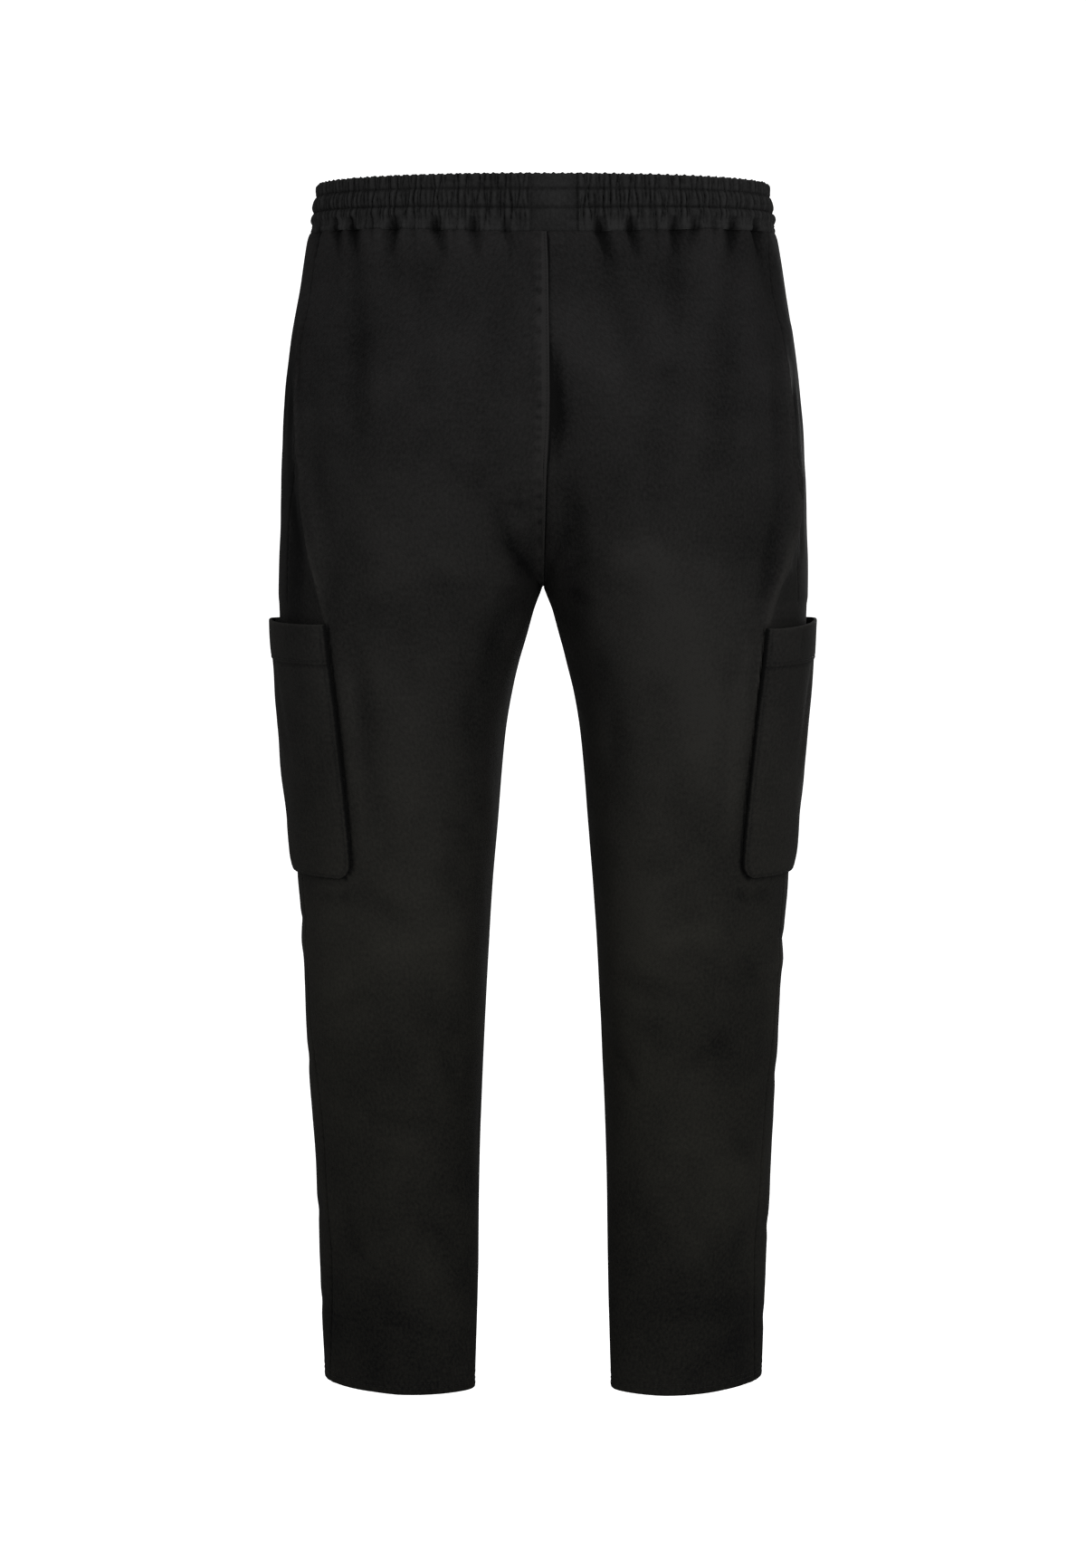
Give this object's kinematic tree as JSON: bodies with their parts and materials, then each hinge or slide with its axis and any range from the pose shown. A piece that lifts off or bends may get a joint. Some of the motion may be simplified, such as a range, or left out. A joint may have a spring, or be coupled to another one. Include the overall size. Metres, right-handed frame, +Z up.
{
  "type": "cargo trousers",
  "caption": "Pull-on cargo trousers with a gathered elastic waistband, straight tapered legs and a large patch pocket on each outer thigh, filled out as worn.",
  "frame": {"origin": "centre of the waistband at the middle of its height, where the wearer's waist holds it", "axes": "+Z up, -Y out of the back of the garment, which the picture shows, -X towards the wearer's left leg"},
  "size_m": [0.4635, 0.2798, 1.0195],
  "materials": {
    "waist_twill": "near-black cotton twill, gathered over elastic, matt",
    "twill": "near-black brushed cotton twill, matt with a faint sheen",
    "pocket_twill": "near-black brushed cotton twill, matt with a faint sheen"
  },
  "bodies": {
    "root": {"waistband": "waist_twill", "back_panel_left": "twill", "back_panel_right": "twill", "front_panel_left": "twill", "front_panel_right": "twill", "cargo_pocket_left": "pocket_twill", "cargo_pocket_right": "pocket_twill"}
  },
  "joints": []
}
